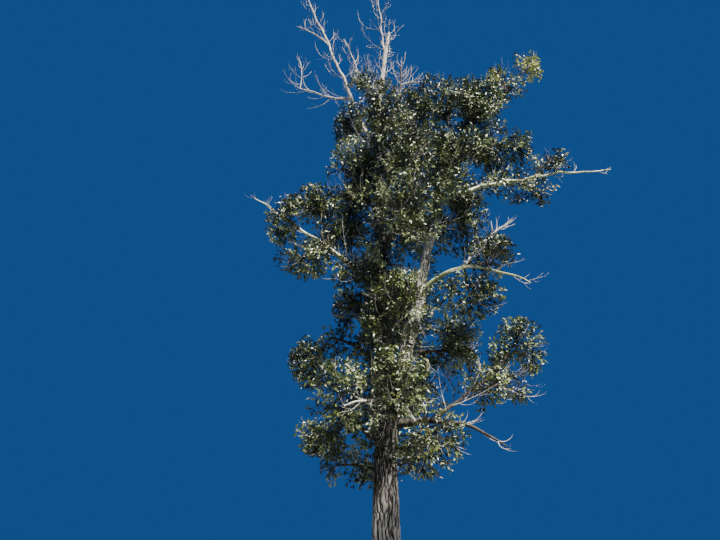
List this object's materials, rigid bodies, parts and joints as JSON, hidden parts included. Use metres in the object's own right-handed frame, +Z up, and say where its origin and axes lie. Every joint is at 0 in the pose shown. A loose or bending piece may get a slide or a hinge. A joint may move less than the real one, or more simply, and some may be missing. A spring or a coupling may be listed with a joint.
{
  "type": "poplar tree",
  "caption": "Tall old poplar with a forked trunk, a dead top of bare limbs, long boughs and separate masses of leaves, cut flat at ground level.",
  "frame": {"origin": "middle of the flat cut under the trunk, at ground level", "axes": "+Z up, the face that the picture shows looks along -Y, +X to its right"},
  "size_m": [14.4012, 8.2772, 26.9122],
  "materials": {
    "dark_bark": "rough, deeply furrowed",
    "pale_bark": "rough, finely cracked",
    "dead_wood": "weathered, bare",
    "green_leaves": "satin",
    "yellow_leaves": "satin",
    "bare_twigs": "weathered, bare"
  },
  "bodies": {
    "root": {"trunk": "dark_bark", "second_leader": "pale_bark", "low_right_bough": "dark_bark", "low_right_riser": "dark_bark", "arch_bough": "pale_bark", "arch_end": "pale_bark", "right_long_bough": "pale_bark", "left_long_bough": "pale_bark", "left_dead_leader": "dead_wood", "left_dead_arm": "dead_wood", "top_shoot": "dead_wood", "top_left_snag": "dead_wood", "right_snag": "dark_bark", "dome_bough": "pale_bark", "left_low_bough": "dark_bark", "left_mid_bough": "dark_bark", "front_dead_bough": "dead_wood", "leaves_crown_top": "green_leaves", "leaves_top_centre": "green_leaves", "leaves_left_shoulder": "green_leaves", "leaves_left_upper": "green_leaves", "leaves_upper_front": "green_leaves", "leaves_upper_back": "green_leaves", "leaves_dome_left": "green_leaves", "leaves_dome_right": "green_leaves", "leaves_dome_tip": "green_leaves", "leaves_yellow_tip": "yellow_leaves", "leaves_right_shoulder": "green_leaves", "leaves_centre_right": "green_leaves", "leaves_long_bough_upper": "green_leaves", "leaves_long_bough_under": "green_leaves", "leaves_left_outer": "green_leaves", "leaves_left_middle": "green_leaves", "leaves_left_under": "green_leaves", "leaves_left_inner": "green_leaves", "leaves_left_knee": "green_leaves", "leaves_middle_front": "green_leaves", "leaves_middle_back": "green_leaves", "leaves_right_middle": "green_leaves", "leaves_arch_upper": "green_leaves", "leaves_arch_under": "green_leaves", "leaves_left_centre": "green_leaves", "leaves_centre_front": "green_leaves", "leaves_back_middle": "green_leaves", "leaves_right_inner": "green_leaves", "leaves_right_outer": "green_leaves", "leaves_right_under": "green_leaves", "leaves_left_outer_low": "green_leaves", "leaves_left_front_low": "green_leaves", "leaves_left_under_low": "green_leaves", "leaves_foot_left": "green_leaves", "leaves_foot_right": "green_leaves", "leaves_low_back": "green_leaves", "leaves_low_front": "green_leaves", "twigs_top": "bare_twigs", "twigs_leader_tip": "bare_twigs", "twigs_leader_side": "bare_twigs", "twigs_arm": "bare_twigs", "twigs_snag": "bare_twigs", "twigs_right": "bare_twigs"}
  },
  "joints": []
}
